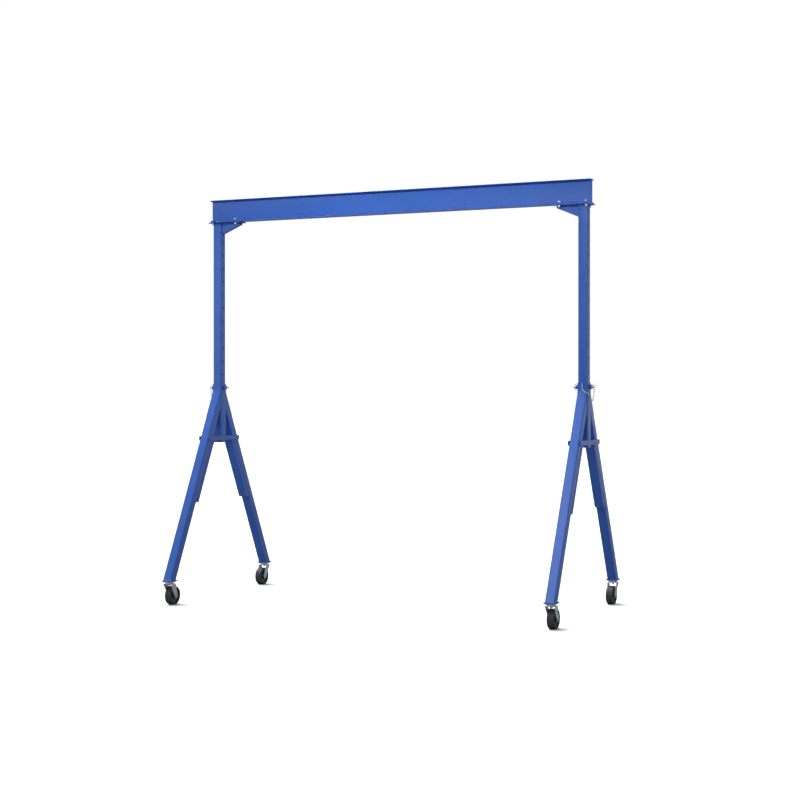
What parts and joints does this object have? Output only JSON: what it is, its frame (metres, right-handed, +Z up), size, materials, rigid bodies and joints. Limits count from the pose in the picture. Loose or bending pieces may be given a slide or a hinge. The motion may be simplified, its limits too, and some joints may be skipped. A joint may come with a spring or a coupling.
{
  "type": "portable gantry crane",
  "caption": "Portable gantry crane: an I-beam on telescoping square posts with locking pins, carried by A-shaped end frames on swivel casters.",
  "frame": {"origin": "on the floor, in the middle between the two end frames", "axes": "+X along the beam, -Y to the front, +Z up; the pull rings are on the outer side of each end frame"},
  "size_m": [4.6374, 2.251, 4.547],
  "materials": {
    "blue_paint": "satin enamel with light orange peel",
    "zinc_plate": "dull bright zinc plate",
    "bare_steel": "plain machined steel",
    "black_tread": "moulded black, slightly scuffed tread"
  },
  "bodies": {
    "left_end_frame": {"left_sleeve": "blue_paint", "left_front_leg": "blue_paint", "left_rear_leg": "blue_paint", "left_leg_stiffeners": "blue_paint", "left_cross_bars": "blue_paint", "left_foot_plates": "blue_paint", "left_pin_bosses": "blue_paint", "left_chain_lug": "zinc_plate", "left_caster_plates": "zinc_plate", "left_caster_bolts": "zinc_plate", "left_kingpins": "bare_steel", "left_tether_chain": "zinc_plate"},
    "beam_assembly": {"beam": "blue_paint", "left_post": "blue_paint", "right_post": "blue_paint", "left_head_plate": "blue_paint", "right_head_plate": "blue_paint", "left_knee_gusset": "blue_paint", "right_knee_gusset": "blue_paint", "beam_clamps": "blue_paint", "beam_bolts": "zinc_plate", "beam_washers": "zinc_plate", "beam_nuts": "zinc_plate"},
    "right_end_frame": {"right_sleeve": "blue_paint", "right_front_leg": "blue_paint", "right_rear_leg": "blue_paint", "right_leg_stiffeners": "blue_paint", "right_cross_bars": "blue_paint", "right_foot_plates": "blue_paint", "right_pin_bosses": "blue_paint", "right_chain_lug": "zinc_plate", "right_caster_plates": "zinc_plate", "right_caster_bolts": "zinc_plate", "right_kingpins": "bare_steel", "right_tether_chain": "zinc_plate"},
    "left_front_caster_fork": {"left_front_fork": "zinc_plate", "left_front_axle": "zinc_plate"},
    "left_front_caster_wheel": {"left_front_wheel": "black_tread", "left_front_bearing": "bare_steel"},
    "left_rear_caster_fork": {"left_rear_fork": "zinc_plate", "left_rear_axle": "zinc_plate"},
    "left_rear_caster_wheel": {"left_rear_wheel": "black_tread", "left_rear_bearing": "bare_steel"},
    "left_locking_pin": {"left_height_pin": "zinc_plate"},
    "left_locking_clip": {"left_pin_clip": "bare_steel"},
    "right_front_caster_fork": {"right_front_fork": "zinc_plate", "right_front_axle": "zinc_plate"},
    "right_front_caster_wheel": {"right_front_wheel": "black_tread", "right_front_bearing": "bare_steel"},
    "right_rear_caster_fork": {"right_rear_fork": "zinc_plate", "right_rear_axle": "zinc_plate"},
    "right_rear_caster_wheel": {"right_rear_wheel": "black_tread", "right_rear_bearing": "bare_steel"},
    "right_locking_pin": {"right_height_pin": "zinc_plate"},
    "right_locking_clip": {"right_pin_clip": "bare_steel"}
  },
  "joints": [
    {"name": "left_height", "type": "slide", "parent": "left_end_frame", "child": "beam_assembly", "axis": [0, 0, -1], "range_m": [-0.1524, 1.6764]},
    {"name": "right_height", "type": "slide", "parent": "beam_assembly", "child": "right_end_frame", "axis": [0, 0, 1], "range_m": [-0.1524, 1.6764]},
    {"name": "left_front_swivel", "type": "hinge", "parent": "left_end_frame", "child": "left_front_caster_fork", "pos_m": [-2.197, -1.062, 0.24], "axis": [0, 0, 1], "continuous": true},
    {"name": "left_front_wheel_spin", "type": "hinge", "parent": "left_front_caster_fork", "child": "left_front_caster_wheel", "pos_m": [-2.197, -1, 0.1016], "axis": [1, 0, 0], "continuous": true},
    {"name": "left_rear_swivel", "type": "hinge", "parent": "left_end_frame", "child": "left_rear_caster_fork", "pos_m": [-2.197, 1.062, 0.24], "axis": [0, 0, 1], "continuous": true},
    {"name": "left_rear_wheel_spin", "type": "hinge", "parent": "left_rear_caster_fork", "child": "left_rear_caster_wheel", "pos_m": [-2.197, 1, 0.1016], "axis": [1, 0, 0], "continuous": true},
    {"name": "left_pin_pull", "type": "slide", "parent": "left_end_frame", "child": "left_locking_pin", "axis": [-1, 0, 0], "range_m": [0, 0.18], "deforming": ["left_tether_chain"]},
    {"name": "left_clip_pull", "type": "slide", "parent": "left_end_frame", "child": "left_locking_clip", "axis": [0, 0, 1], "range_m": [0, 0.06]},
    {"name": "right_front_swivel", "type": "hinge", "parent": "right_end_frame", "child": "right_front_caster_fork", "pos_m": [2.197, -1.062, 0.24], "axis": [0, 0, 1], "continuous": true},
    {"name": "right_front_wheel_spin", "type": "hinge", "parent": "right_front_caster_fork", "child": "right_front_caster_wheel", "pos_m": [2.197, -1, 0.1016], "axis": [1, 0, 0], "continuous": true},
    {"name": "right_rear_swivel", "type": "hinge", "parent": "right_end_frame", "child": "right_rear_caster_fork", "pos_m": [2.197, 1.062, 0.24], "axis": [0, 0, 1], "continuous": true},
    {"name": "right_rear_wheel_spin", "type": "hinge", "parent": "right_rear_caster_fork", "child": "right_rear_caster_wheel", "pos_m": [2.197, 1, 0.1016], "axis": [1, 0, 0], "continuous": true},
    {"name": "right_pin_pull", "type": "slide", "parent": "right_end_frame", "child": "right_locking_pin", "axis": [1, 0, 0], "range_m": [0, 0.18], "deforming": ["right_tether_chain"]},
    {"name": "right_clip_pull", "type": "slide", "parent": "right_end_frame", "child": "right_locking_clip", "axis": [0, 0, 1], "range_m": [0, 0.06]}
  ]
}
